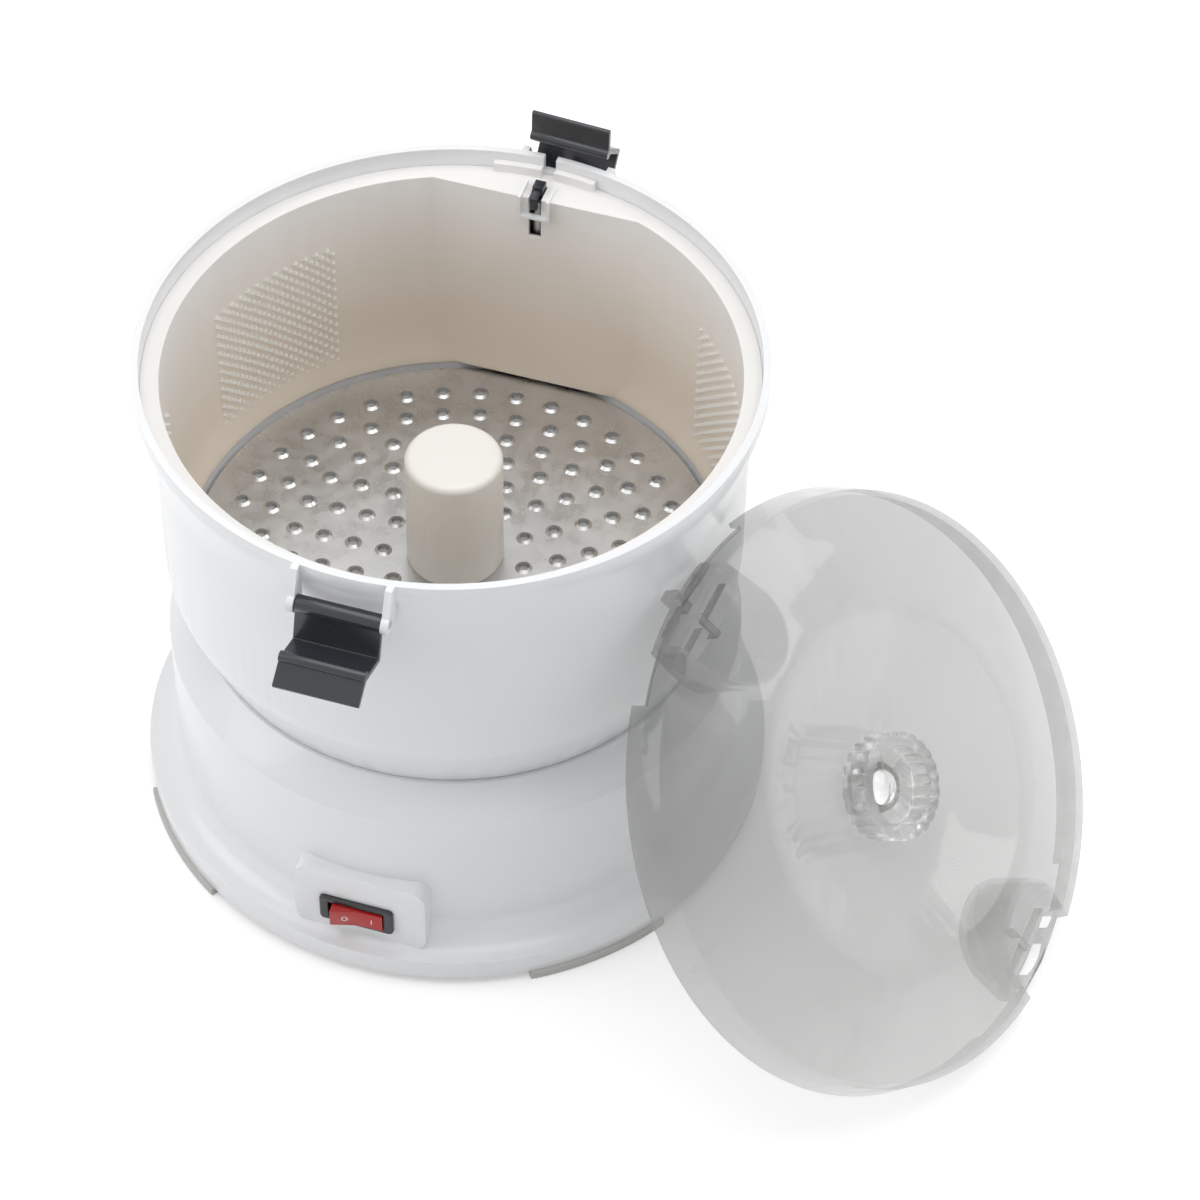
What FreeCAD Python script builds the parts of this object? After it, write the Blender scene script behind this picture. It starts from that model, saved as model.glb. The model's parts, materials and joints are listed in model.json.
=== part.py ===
# Electric potato peeler: motor base, lift-off drum with spinning grater disc, and a loose clear lid.
# Millimetres, +Z up, front (switch side) towards -Y. The origin is on the floor, on the drive axis.
import FreeCAD, Part
import math
import os

V = FreeCAD.Vector

# Drum
rim_r = 122.0               # outer edge of the drum's rim
rim_overhang = 6.4          # the rim stands out beyond the drum's wall
rim_wall = 3.0
rim_band = 6.0              # upright outer face of the rim
drum_height = 129.2
drum_wall = 2.0
drum_floor = 3.0
flare_step = 0.8            # from the rim in to the top of the flare
flare_low = 34.0            # the wall starts to flare this far below the rim
flare_high = 9.5            # and meets the rim's band this far below it
flare_bow = 0.35
cone_step = 2.7             # from the wall in to the top of the cone
foot_step = 12.1            # from the wall in to the foot
cone_height = 21.7
curve_height = 14.5         # from the cone's top to the upright wall
curve_bow = 0.2
sleeve_r = 11.0
sleeve_bore = 8.0
locating_ring_wall = 3.0
locating_ring_depth = 5.0
key_half_width = 4.0        # rear key that drops into the base
key_clearance = 1.0         # under the key
notch_half_width = 2.6
notch_depth = 6.4
notch_x = 1.2

# Liner
shelf_drop = 8.0            # from the rim's top to the liner's shelf
shelf_thickness = 2.0
liner_wall = 1.6
liner_curve = 7.0           # the liner is upright this far above the drum's curve
liner_bow = 0.22
facet_depth = 12.6          # flat facet at the rear, in from the drum's wall
stop_bar_half_angle = 10.5  # raised bar in front of the rim notch
stop_bar_height = 4.2
stop_bar_width = 3.0

# Disc
disc_lift = 19.2            # from the drum's foot to the disc's upper face
disc_thickness = 1.2
disc_to_liner = 1.5
disc_gap = 0.8              # round the disc, to the rear key
carrier_margin = 6.4        # from the disc's edge in to the carrier's
carrier_plate = 3.0
carrier_rib_depth = 5.0
carrier_rib_width = 2.4
carrier_ribs = 8
carrier_tube_r = 15.0
carrier_tube_wall = 3.0
carrier_roof = 2.4
hub_cap_r = 19.5
hub_cap_wall = 2.2
hub_cap_edge = 3.0
hub_cap_space = 5.6         # over the spindle, under the cap's roof
hole_r = 2.3                # holes of the grater disc
hole_ring_step = 12.5
hole_ring_first = 29.0
hole_rings = 6
hole_pitch = 15.5

# Base casing
foot_height = 4.0           # foot pads lift the casing's lower edge this much
foot_overhang = 1.6         # pads stand out beyond the lower edge
foot_pad_width = 18.0
foot_pad_half_angle = 13.5
casing_height = 92.5        # lower edge to the land that carries the drum
casing_wall = 2.5
land_margin = 1.5           # the land reaches this far beyond the drum's foot
land_width = 8.0
shoulder_width = 12.0
shoulder_height = 12.5
waist_step = 0.8            # the collar narrows this much towards the waist
waist_height = 21.5         # lower edge to the waist
flare_width = 13.8          # from the waist out to the lower edge
band_height = 9.5           # upright band of the lower edge
deck_drop = 6.5             # from the land down to the deck
boss_r = 13.0               # central boss round the spindle
boss_drop = 1.0             # from the land down to the boss's top
boss_length = 11.5
pocket_depth = 10.0         # rear pocket that takes the drum's key
cover_thickness = 2.5
cover_boss_r = 5.0
cover_boss_inset = 6.6      # in from the waist
cover_boss_height = 33.5
vent_length = 14.0
vent_width = 3.0
vent_ring = 20.0
vents = 10

# Switch
panel_half_width = 27.5
panel_lift = 10.0           # from the lower edge to the panel's lower side
panel_height = 35.0
panel_corner = 6.0
panel_out = 4.6             # the panel stands out from the collar
switch_x = -1.3
switch_lift = 13.9          # from the panel's lower side to the switch's middle
bezel_length = 31.0
bezel_height = 14.0
bezel_thickness = 1.8
bezel_corner = 2.0
bezel_edge = 0.6
switch_body_length = 27.6
switch_body_height = 11.6
switch_body_depth = 22.0
rocker_length = 21.4
rocker_height = 8.6
rocker_rise = 2.7           # an end stands this far out of the bezel's face
rocker_valley = 1.4
rocker_depth = 7.0
rocker_tilt = 9.0           # at rest the left end stands out
rocker_axis_depth = 2.0
rocker_foot = 8.5           # length of the rocker's inner side
trunnion_r = 1.2
trunnion_length = 0.9
terminal_length = 7.0
terminal_width = 4.8
terminal_thickness = 0.8
terminal_pitch = 8.0

# Drive
spindle_r = 5.0
spindle_tail = 6.0          # below the gearbox plate
sleeve_height = 32.0        # of the drum's sleeve above the disc
hex_across_flats = 8.4
hex_length = 13.0
flat_depth = 1.0            # flat on a shaft where a gear is fixed
gear_module = 1.25
drive_teeth = 56
small_teeth = 14
large_teeth = 48
pinion_teeth = 12
drive_gear_width = 10.0
large_gear_lift = 18.0      # above the gearbox plate's lower face
large_gear_width = 8.0
mesh_angle = 60.0           # direction from the intermediate gear to the motor
axle_r = 3.0
axle_boss_r = 7.0
axle_boss_depth = 4.5
motor_r = 30.0
motor_length = 36.0
motor_shaft_r = 2.5
motor_can_wall = 1.5
motor_bearing_r = 6.0
motor_bearing_width = 5.0
motor_screw_ring = 22.0
rotor_r = 17.0
rotor_length = 20.0
rotor_slots = 8
rotor_slot_depth = 5.0
rotor_slot_width = 1.6
stator_inner_r = 18.0
fan_r = 26.0
fan_blades = 9
fan_height = 7.0
fan_hub_r = 6.0
fan_disc = 1.2
plate_drop = 34.0           # from the deck down to the gearbox plate
plate_thickness = 3.0
plate_margin = 9.0
plate_hub_r = 11.0
plate_hub_depth = 3.7
pillar_r = 4.5
pillar_near = 51.6          # pillars beside the drive gear, from its axis
pillar_far = 44.0           # pillars beside the intermediate gear, from its axis
pillar_motor = 34.6         # pillar beside the motor, from its axis
bush_r = 8.0
seal_height = 3.6
circlip_r = 7.5
circlip_thickness = 1.0
groove_r = 4.2
screw_r = 1.6
screw_head_r = 3.2
screw_head_height = 2.2
screw_grip = 9.0

# Interlock
rod_width = 3.0
rod_behind_facet = 6.0      # upper run of the rod
rod_jog = 2.0               # the lower run is this much further back
rod_jog_lift = 6.0          # over the key
rod_jog_height = 6.0
rod_head_width = 4.4
rod_head_length = 4.8
rod_head_rise = 3.0         # above the shelf
rod_stroke = 3.0
tongue_out = 1.8            # the head reaches forward of the facet
tongue_thickness = 1.5
tongue_width = 2.9
tongue_drop = 5.8
arm_step = 1.5
channel_wall = 2.0
button_r = 1.2
button_rest = 0.7           # button left standing when pressed
microswitch_drop = 7.5      # from the pocket's floor to the microswitch's top
microswitch_height = 10.0
microswitch_half_length = 10.0
microswitch_width = 6.4
contact_pitch = 7.0
contact_width = 2.0
contact_thickness = 0.5
contact_length = 4.0
bracket_depth = 6.0
bracket_tail = 3.0          # of the bracket below the microswitch
spring_wall = 0.7
spring_inner_r = 2.5
collar_thickness = 2.0
spring_seat_drop = 30.0     # from the shelf down to the spring's seat
guide_half_width = 6.6
guide_wall = 1.2
guide_drop = 9.0            # below the shelf
guide_height = 1.5          # above the shelf
guide_length = 11.5

# Latches
hinge_out = 4.5             # pin axis outside the rim
hinge_drop = 14.2           # pin axis below the rim's top
pin_r = 1.6
latch_half_width = 16.6
ear_thickness = 2.8
ear_drop = 22.0             # lower end of the ears below the rim's top
ear_nose_r = 3.9
ear_shoulder = 1.5
barrel_r = 3.3
latch_plate = 2.3
latch_reach = 14.6          # bend to the bead
latch_lip = 9.5
latch_lip_angle = 126.0
bead_r = 2.2
rear_latch_azimuth = 176.2
front_latch_turn = 163.0    # hanging open, measured back from closed
rear_latch_turn = 38.0      # standing half open

# Lid
lid_clearance = 0.2         # between the skirt and the drum's lip
lid_corner_step = 3.0       # the skirt narrows this much upwards
lid_skirt = 15.6
lid_wall = 2.0
dome_width = 44.3           # from the skirt's edge in to the dome's crest
dome_rise = 11.8
crest_width = 8.5
crest_fall = 1.0
dish_width = 22.6
dish_depth = 12.2
well_half_width = 20.0
well_length = 41.8          # from the skirt's edge in to the well's round end
well_floor_h = 2.0
well_strip_h = 9.0          # height of the skirt left in front of a well
catch_inset = 15.8          # from the skirt's edge in to the catch bar
catch_width = 5.0
catch_h = 7.0
catch_rib_width = 3.0
catch_rib_length = 7.0
skirt_relief_h = 6.0
relief_half_angle = 21.5
key_tab_out = 2.6           # beyond the skirt's edge
key_tab_width = 4.6
key_tab_root = 6.8
well_azimuth = 104.3        # in the lid's own plane, from its level axis
knob_r = 21.2
knob_lobe_depth = 1.0
knob_lobes = 24
knob_height = 11.8
knob_bore_r = 15.7
knob_floor = 2.0
knob_dome_r = 9.0
knob_dome_h = 3.0
knob_spigot_r = 6.0
knob_spigot_length = 6.0
knob_clip_r = 9.5
knob_clip_thickness = 1.5
lid_azimuth = 74.3          # where the lid stands, seen from the drive axis
lid_facing = 72.6           # where its outer face looks
lid_lean = 38.5             # its axis above the level

# Cord gland
gland_lift = 34.0           # above the lower edge
gland_r = 5.0
gland_flange_r = 7.5
gland_flange = 2.0
gland_bore = 3.4
gland_length = 14.0

# Clearances
fit = 0.05                  # fixed fits
running = 0.1               # pins and shafts
seat_gap = 0.3              # pieces that rest against each other
mesh_backlash = 0.2         # share of a tooth pitch left free
pass_gap = 1.0              # open space between parts that pass each other

quarter_turn = 1 - math.sqrt(0.5)


def cylinder(r, z0, z1, x=0.0, y=0.0):
    return Part.makeCylinder(r, z1 - z0, V(x, y, z0))


def ring(outer, inner, z0, z1, x=0.0, y=0.0):
    return cylinder(outer, z0, z1, x, y).cut(cylinder(inner, z0 - 1, z1 + 1, x, y))


def block(x0, x1, y0, y1, z0, z1):
    return Part.makeBox(x1 - x0, y1 - y0, z1 - z0, V(x0, y0, z0))


def turned(shape, angle, x=0.0, y=0.0):
    copy = shape.copy()
    copy.rotate(V(x, y, 0), V(0, 0, 1), angle)
    return copy


def polar(radius, azimuth):
    """A point at an azimuth measured from the front (-Y) towards +X."""
    a = math.radians(azimuth)
    return radius * math.sin(a), -radius * math.cos(a)


def outline(start, steps, plane):
    """A closed wire. A step is an end point, or a middle and an end point of an arc."""
    edges = []
    here = start
    for step in list(steps) + [start]:
        if isinstance(step[0], tuple):
            edges.append(Part.Arc(plane(here), plane(step[0]), plane(step[1])).toShape())
            here = step[1]
        else:
            edges.append(Part.LineSegment(plane(here), plane(step)).toShape())
            here = step
    return Part.Wire(edges)


def revolved(start, steps):
    wire = outline(start, steps, lambda p: V(p[0], 0, p[1]))
    return Part.Face(wire).revolve(V(0, 0, 0), V(0, 0, 1), 360)


def joined(first, others):
    return first.fuse(list(others)).removeSplitter()


def sector(outer, inner, z0, z1, azimuth, half_angle):
    """A piece of a ring, centred on an azimuth."""
    full = Part.makeCylinder(outer, z1 - z0, V(0, 0, z0), V(0, 0, 1), 2 * half_angle)
    piece = full.cut(cylinder(inner, z0 - 1, z1 + 1))
    return turned(piece, azimuth - 90 - half_angle)


def rounded_panel(half_width, z0, z1, corner, y0, y1, x=0.0):
    """A plate facing -Y with rounded corners."""
    solid = block(x - half_width, x + half_width, y0, y1, z0, z1)
    edges = [e for e in solid.Edges if abs(e.tangentAt(e.FirstParameter).y) > 0.99]
    return solid.makeFillet(corner, edges)


def save(name, shape):
    os.makedirs("parts", exist_ok=True)
    shape.exportStep("parts/" + name + ".step")
    print(name, len(shape.Solids), "solid", round(shape.Volume / 1000, 2), "cm3")


# Places that several pieces share: radii
drum_wall_r = rim_r - rim_overhang
drum_inner_r = drum_wall_r - drum_wall
drum_flare_r = rim_r - flare_step
drum_cone_r = drum_wall_r - cone_step
drum_foot_r = drum_wall_r - foot_step
lip_inner_r = rim_r - rim_wall
land_r = drum_foot_r + land_margin
land_inner_r = land_r - land_width
collar_r = land_r + shoulder_width
collar_inner_r = collar_r - casing_wall
waist_r = collar_r - waist_step
base_r = waist_r + flare_width
cover_r = base_r - casing_wall - fit
panel_face_y = -(collar_r + panel_out)
shoulder_offset = casing_wall * math.tan(math.radians(22.5))
locating_ring_r = land_inner_r - pass_gap
hinge_r = rim_r + hinge_out
lid_r = lip_inner_r - lid_clearance
lid_corner_r = lid_r - lid_corner_step
dome_r = lid_r - dome_width
dish_r = dome_r - crest_width
floor_r = dish_r - dish_width
well_inner_r = lid_r - well_length
catch_inner_r = lid_r - catch_inset
key_tab_r = lid_r + key_tab_out
relief_corner = well_azimuth - relief_half_angle
relief_wall_r = lid_r - 1.5 * lid_wall

# Heights
casing_low_z = foot_height
cover_top_z = casing_low_z + cover_thickness
waist_z = casing_low_z + waist_height
land_z = casing_low_z + casing_height
collar_z = land_z - shoulder_height
deck_z = land_z - deck_drop
deck_low_z = deck_z - casing_wall
boss_top_z = land_z - boss_drop
boss_bottom_z = boss_top_z - boss_length
pocket_floor_z = land_z - pocket_depth
panel_low_z = casing_low_z + panel_lift
panel_high_z = panel_low_z + panel_height
switch_z = panel_low_z + switch_lift
gland_z = casing_low_z + gland_lift
drum_low_z = land_z + seat_gap
floor_top_z = drum_low_z + drum_floor
drum_cone_z = drum_low_z + cone_height
drum_wall_z = drum_cone_z + curve_height
rim_z = drum_low_z + drum_height
rim_low_z = rim_z - rim_band
drum_flare_z = rim_z - flare_low
flare_top_z = rim_z - flare_high
shelf_z = rim_z - shelf_drop
shelf_low_z = shelf_z - shelf_thickness
liner_curve_z = drum_wall_z + liner_curve
disc_z = drum_low_z + disc_lift
sleeve_top_z = disc_z + sleeve_height
hex_low_z = sleeve_top_z + 2 * pass_gap
spindle_top_z = hex_low_z + hex_length
hub_cap_z = spindle_top_z + hub_cap_space + carrier_roof
carrier_low_z = disc_z - disc_thickness - carrier_plate
carrier_top_z = spindle_top_z + running + carrier_roof
plate_z = deck_z - plate_drop
plate_top_z = plate_z + plate_thickness
spindle_bottom_z = plate_z - spindle_tail
lower_bush_z = plate_z - plate_hub_depth
drive_gear_z = plate_top_z + plate_thickness
large_gear_z = plate_z + large_gear_lift
motor_bottom_z = plate_z - motor_length
hinge_z = rim_z - hinge_drop
ear_low_z = rim_z - ear_drop
latch_rise = rim_z + seat_gap + latch_plate / 2 - hinge_z
dome_h = lid_skirt + dome_rise
dish_h = dome_h - crest_fall
floor_h = dish_h - dish_depth
knob_top_h = floor_h + knob_height

# Liner and disc
cone_slope = (drum_cone_r - drum_foot_r) / (drum_cone_z - drum_low_z)
liner_outer_r = drum_inner_r - seat_gap
liner_low_z = disc_z + disc_to_liner
liner_foot_r = drum_foot_r + cone_slope * (liner_low_z - drum_low_z) - drum_wall - seat_gap
facet_y = drum_wall_r - facet_depth

# Interlock
rod_y = facet_y + rod_behind_facet
rod_low_y = rod_y + rod_jog
rod_top_z = shelf_z + rod_head_rise
key_outer_y = rod_low_y + rod_width / 2 + seat_gap + channel_wall
key_inner_y = rod_low_y - rod_width / 2 - seat_gap - channel_wall
key_low_z = pocket_floor_z + key_clearance
key_top_z = drum_wall_z + pass_gap
rod_jog_z = key_top_z + rod_jog_lift
tongue_y = facet_y - tongue_out
microswitch_top_z = pocket_floor_z - microswitch_drop
microswitch_screw_z = microswitch_top_z - microswitch_height / 2
microswitch_outer_y = rod_low_y + rod_width / 2
microswitch_inner_y = microswitch_outer_y - microswitch_width
rod_bottom_z = microswitch_top_z + button_rest + rod_stroke + seat_gap
spring_seat_z = shelf_z - spring_seat_drop
collar_top_z = shelf_low_z - seat_gap
collar_low_z = collar_top_z - collar_thickness
guide_low_z = shelf_z - guide_drop
disc_r = key_inner_y - disc_gap
carrier_r = disc_r - carrier_margin

# Gears, pillars and screws
drive_pitch_r = gear_module * drive_teeth / 2
small_pitch_r = gear_module * small_teeth / 2
large_pitch_r = gear_module * large_teeth / 2
pinion_pitch_r = gear_module * pinion_teeth / 2
axle_x = small_pitch_r + drive_pitch_r
motor_x = axle_x + (large_pitch_r + pinion_pitch_r) * math.cos(math.radians(mesh_angle))
motor_y = (large_pitch_r + pinion_pitch_r) * math.sin(math.radians(mesh_angle))
pillars = [(pillar_near * math.cos(a), pillar_near * math.sin(a)) for a in (math.radians(215), math.radians(145))]
pillars.append((axle_x + pillar_far * math.cos(math.radians(-38)), pillar_far * math.sin(math.radians(-38))))
pillars.append((motor_x + pillar_motor, motor_y))
pillars.append((axle_x / 2, motor_y + pillar_motor * 0.75))
pillars = [pillars[0], pillars[2], pillars[3], pillars[4], pillars[1]]
cover_bosses = [polar(waist_r - cover_boss_inset, a) for a in (45, 135, 225, 315)]


def casing_envelope():
    band_top = casing_low_z + band_height
    return revolved((0, casing_low_z), [
        (base_r, casing_low_z),
        (base_r, band_top),
        ((waist_r + (base_r - waist_r) * quarter_turn,
          band_top + (waist_z - band_top) * quarter_turn), (waist_r, waist_z)),
        (collar_r, (waist_z + collar_z) / 2),
        (collar_r, collar_z),
        (land_r, land_z),
        (0, land_z)])


def casing_hollow():
    band_top = casing_low_z + band_height - casing_wall
    inner_base_r = base_r - casing_wall
    inner_waist_r = waist_r - casing_wall
    return revolved((0, casing_low_z - 1), [
        (inner_base_r, casing_low_z - 1),
        (inner_base_r, band_top),
        ((inner_waist_r + (inner_base_r - inner_waist_r) * quarter_turn,
          band_top + (waist_z - band_top) * quarter_turn), (inner_waist_r, waist_z)),
        (collar_inner_r, (waist_z + collar_z) / 2),
        (collar_inner_r, collar_z - shoulder_offset),
        (land_r - shoulder_offset, land_z - casing_wall),
        (land_inner_r + casing_wall, land_z - casing_wall),
        (land_inner_r + casing_wall, deck_low_z),
        (0, deck_low_z)])


def base_shell():
    panel = rounded_panel(panel_half_width, panel_low_z, panel_high_z, panel_corner, panel_face_y, 0)
    panel_hollow = rounded_panel(panel_half_width - casing_wall, panel_low_z + casing_wall,
                                 panel_high_z - casing_wall, panel_corner - casing_wall,
                                 panel_face_y + casing_wall, 0)
    envelope = casing_envelope().fuse(panel)
    hollow = casing_hollow().fuse(panel_hollow)
    shell = envelope.cut(hollow).cut(cylinder(land_inner_r, deck_z, land_z + 1))
    ribs = [cylinder(boss_r, boss_bottom_z, boss_top_z)]
    ribs.append(cylinder(axle_boss_r, deck_low_z - axle_boss_depth, deck_low_z, axle_x, 0))
    ribs += [cylinder(pillar_r, plate_top_z, deck_low_z, x, y) for x, y in pillars]
    ribs += [cylinder(cover_boss_r, cover_top_z, cover_top_z + cover_boss_height, x, y) for x, y in cover_bosses]
    ribs.append(block(-microswitch_half_length, microswitch_half_length,
                      microswitch_inner_y - bracket_depth, microswitch_inner_y,
                      microswitch_top_z - microswitch_height - bracket_tail, deck_low_z))
    pocket_half = key_half_width + seat_gap
    pocket = block(-pocket_half - casing_wall, pocket_half + casing_wall,
                   land_inner_r, collar_r, pocket_floor_z - casing_wall, land_z)
    ribs.append(pocket.common(casing_envelope()))
    shell = shell.fuse(ribs)
    holes = [cylinder(bush_r + fit, boss_bottom_z - 1, boss_top_z + 1)]
    holes.append(block(-pocket_half, pocket_half, key_inner_y - seat_gap, base_r,
                       pocket_floor_z, land_z + 1))
    slot = rod_width / 2 + seat_gap
    holes.append(block(-slot, slot, rod_low_y - slot, rod_low_y + slot,
                       pocket_floor_z - casing_wall - 1, pocket_floor_z + 1))
    holes.append(cylinder(axle_r + fit, 0, deck_low_z - fit, axle_x, 0))
    holes += [cylinder(screw_r + fit, plate_top_z - 1, plate_top_z + screw_grip, x, y)
              for x, y in pillars]
    holes += [cylinder(screw_r + fit, cover_top_z - 1, cover_top_z + screw_grip, x, y)
              for x, y in cover_bosses]
    for x in (-microswitch_half_length / 2, microswitch_half_length / 2):
        holes.append(Part.makeCylinder(screw_r + fit, 2 * bracket_depth,
                                       V(x, microswitch_inner_y - 1.5 * bracket_depth,
                                         microswitch_screw_z), V(0, 1, 0)))
    holes.append(block(switch_x - switch_body_length / 2 - fit, switch_x + switch_body_length / 2 + fit,
                       panel_face_y - 1, panel_face_y + casing_wall + 1,
                       switch_z - switch_body_height / 2 - fit, switch_z + switch_body_height / 2 + fit))
    holes.append(Part.makeCylinder(gland_r + fit, collar_r / 2, V(0, collar_r - gland_length - pass_gap, gland_z), V(0, 1, 0)))
    return shell.cut(holes).removeSplitter()


def base_bottom_cover():
    cover = cylinder(cover_r, casing_low_z, cover_top_z)
    holes = [cylinder(screw_r + fit, 0, cover_top_z + 1, x, y) for x, y in cover_bosses]
    for i in range(vents):
        slot = block(vent_ring - vent_length / 2, vent_ring + vent_length / 2,
                     -vent_width / 2, vent_width / 2, 0, cover_top_z + 1)
        slot = turned(slot, 360.0 / vents * i)
        slot.translate(V(motor_x, motor_y, 0))
        holes.append(slot)
    return cover.cut(holes)


def foot_pads():
    outer = base_r + foot_overhang
    pads = [sector(outer, outer - foot_pad_width, 0, foot_height, a, foot_pad_half_angle)
            for a in (45, 135, 225, 315)]
    return Part.makeCompound(pads)


def screw(x, y, head_z, grip, down=1):
    """A pan-head screw; its head face is at head_z, its shank points up (down=1) or down (-1)."""
    shank = Part.makeCylinder(screw_r, grip, V(x, y, head_z), V(0, 0, down))
    head = Part.makeCylinder(screw_head_r, screw_head_height, V(x, y, head_z), V(0, 0, -down))
    drive = Part.makeBox(2 * screw_r, screw_r / 2, screw_head_height,
                         V(x - screw_r, y - screw_r / 4, head_z - down * screw_head_height))
    if down > 0:
        drive.translate(V(0, 0, -screw_head_height / 2))
    else:
        drive.translate(V(0, 0, -screw_head_height / 2))
    return shank.fuse(head).removeSplitter().cut(drive)


def cover_screws():
    return Part.makeCompound([screw(x, y, casing_low_z, screw_grip) for x, y in cover_bosses])


def plate_screws():
    return Part.makeCompound([screw(x, y, plate_z, screw_grip) for x, y in pillars])


def motor_screw_places():
    return [(motor_x - motor_screw_ring, motor_y), (motor_x + motor_screw_ring, motor_y)]


def motor_screws():
    grip = plate_thickness + motor_can_wall
    return Part.makeCompound([screw(x, y, plate_top_z, grip, -1) for x, y in motor_screw_places()])


def gearbox_plate():
    corners = [V(x, y, plate_z) for x, y in pillars]
    edge = Part.makePolygon(corners + corners[:1])
    plate = Part.Face(edge.makeOffset2D(plate_margin)).extrude(V(0, 0, plate_thickness))
    plate = plate.fuse(cylinder(plate_hub_r, lower_bush_z, plate_top_z))
    holes = [cylinder(bush_r + fit, lower_bush_z - 1, plate_top_z + 1)]
    holes.append(cylinder(axle_r + fit, plate_z - 1, plate_top_z + 1, axle_x, 0))
    holes.append(cylinder(motor_bearing_r + pass_gap, plate_z - 1, plate_top_z + 1, motor_x, motor_y))
    for x, y in pillars + motor_screw_places():
        holes.append(cylinder(screw_r + fit, plate_z - 1, plate_top_z + 1, x, y))
    return plate.cut(holes).removeSplitter()


def bush(z0, z1):
    return ring(bush_r, spindle_r + running, z0, z1)


def spindle_bush_lower():
    return bush(lower_bush_z, drive_gear_z - seat_gap)


def spindle_bush_upper():
    return bush(boss_bottom_z, boss_top_z - seal_height)


def spindle_seal():
    return bush(boss_top_z - seal_height, boss_top_z - fit)


def sleeve_bush():
    return bush(sleeve_top_z - boss_r, sleeve_top_z)


def gear(teeth, z0, z1):
    """Teeth with straight sides, thinned by the backlash."""
    pitch_r = gear_module * teeth / 2
    tip_r = pitch_r + 0.9 * gear_module
    root_r = pitch_r - 1.2 * gear_module
    half = math.pi / 2 / teeth * (1 - mesh_backlash)
    slope = math.tan(math.radians(20)) * gear_module / pitch_r
    points = []
    for i in range(teeth):
        middle = 2 * math.pi * i / teeth
        for r, a in ((root_r, -half - slope), (tip_r, slope - half), (tip_r, half - slope), (root_r, half + slope)):
            points.append(V(r * math.cos(middle + a), r * math.sin(middle + a), z0))
    wire = Part.makePolygon(points + points[:1])
    return Part.Face(wire).extrude(V(0, 0, z1 - z0))


def flatted_bore(r, z0, z1, x=0.0, y=0.0):
    """The shape of a shaft with one flat."""
    flat = block(x + r - flat_depth, x + r + 1, y - r, y + r, z0, z1)
    return cylinder(r, z0, z1, x, y).cut(flat)


def drive_gear():
    top = drive_gear_z + drive_gear_width
    wheel = gear(drive_teeth, drive_gear_z, top)
    return wheel.cut(flatted_bore(spindle_r + fit, drive_gear_z - 1, top + 1))


def drive_spindle():
    top = drive_gear_z + drive_gear_width
    shaft = cylinder(spindle_r, spindle_bottom_z, hex_low_z)
    flat = block(spindle_r - flat_depth, spindle_r + 1, -spindle_r, spindle_r, drive_gear_z, top)
    groove_z = lower_bush_z - seat_gap - circlip_thickness - fit
    groove = ring(spindle_r + 1, groove_r, groove_z, lower_bush_z - seat_gap + fit)
    return shaft.cut([flat, groove]).fuse(hexagon(hex_across_flats, hex_low_z, spindle_top_z)).removeSplitter()


def hexagon(across, z0, z1):
    r = across / math.sqrt(3)
    points = [V(r * math.cos(math.radians(60 * i)), r * math.sin(math.radians(60 * i)), z0) for i in range(6)]
    return Part.Face(Part.makePolygon(points + points[:1])).extrude(V(0, 0, z1 - z0))


def spindle_circlip():
    z1 = lower_bush_z - seat_gap
    clip = ring(circlip_r, groove_r + fit, z1 - circlip_thickness, z1)
    return clip.cut(block(0, circlip_r, -groove_r / 2, groove_r / 2, z1 - 2, z1 + 1))


def intermediate_axle():
    return cylinder(axle_r, plate_z, deck_low_z - 2 * fit, axle_x, 0)


def intermediate_gear():
    low = gear(small_teeth, plate_top_z + seat_gap, large_gear_z)
    low = turned(low, 180 - 180.0 / small_teeth * (small_teeth + 1))
    large = gear(large_teeth, large_gear_z, large_gear_z + large_gear_width)
    wheel = low.fuse(large)
    wheel.translate(V(axle_x, 0, 0))
    top = deck_low_z - axle_boss_depth - seat_gap
    hub = cylinder(axle_boss_r, large_gear_z, top, axle_x, 0)
    return wheel.fuse(hub).cut(cylinder(axle_r + running, plate_z, deck_z, axle_x, 0)).removeSplitter()


def pinion_phase():
    """Turn that puts a pinion gap against the large wheel's tooth."""
    facing = mesh_angle + 180
    wheel_step = 360.0 / large_teeth
    pinion_step = 360.0 / pinion_teeth
    wheel_off = mesh_angle / wheel_step - math.floor(mesh_angle / wheel_step)
    return facing + pinion_step * (0.5 + wheel_off)


def motor_pinion():
    z0 = large_gear_z - pass_gap
    z1 = large_gear_z + large_gear_width + pass_gap
    wheel = gear(pinion_teeth, z0, z1).cut(flatted_bore(motor_shaft_r + fit, z0 - 1, z1 + 1))
    wheel = turned(wheel, pinion_phase())
    wheel.translate(V(motor_x, motor_y, 0))
    return wheel


def fan_top_z():
    return motor_bottom_z - 1.5 * pass_gap


def motor_shaft():
    z0 = fan_top_z() - fan_height
    z1 = large_gear_z + large_gear_width + pass_gap
    shaft = cylinder(motor_shaft_r, z0, z1)
    shaft = shaft.cut(block(motor_shaft_r - flat_depth, motor_shaft_r + 1, -motor_shaft_r, motor_shaft_r,
                            large_gear_z - pass_gap, z1 + 1))
    shaft = turned(shaft, pinion_phase())
    shaft.translate(V(motor_x, motor_y, 0))
    return shaft


def motor_mid_z():
    return (motor_bottom_z + plate_z) / 2


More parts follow.
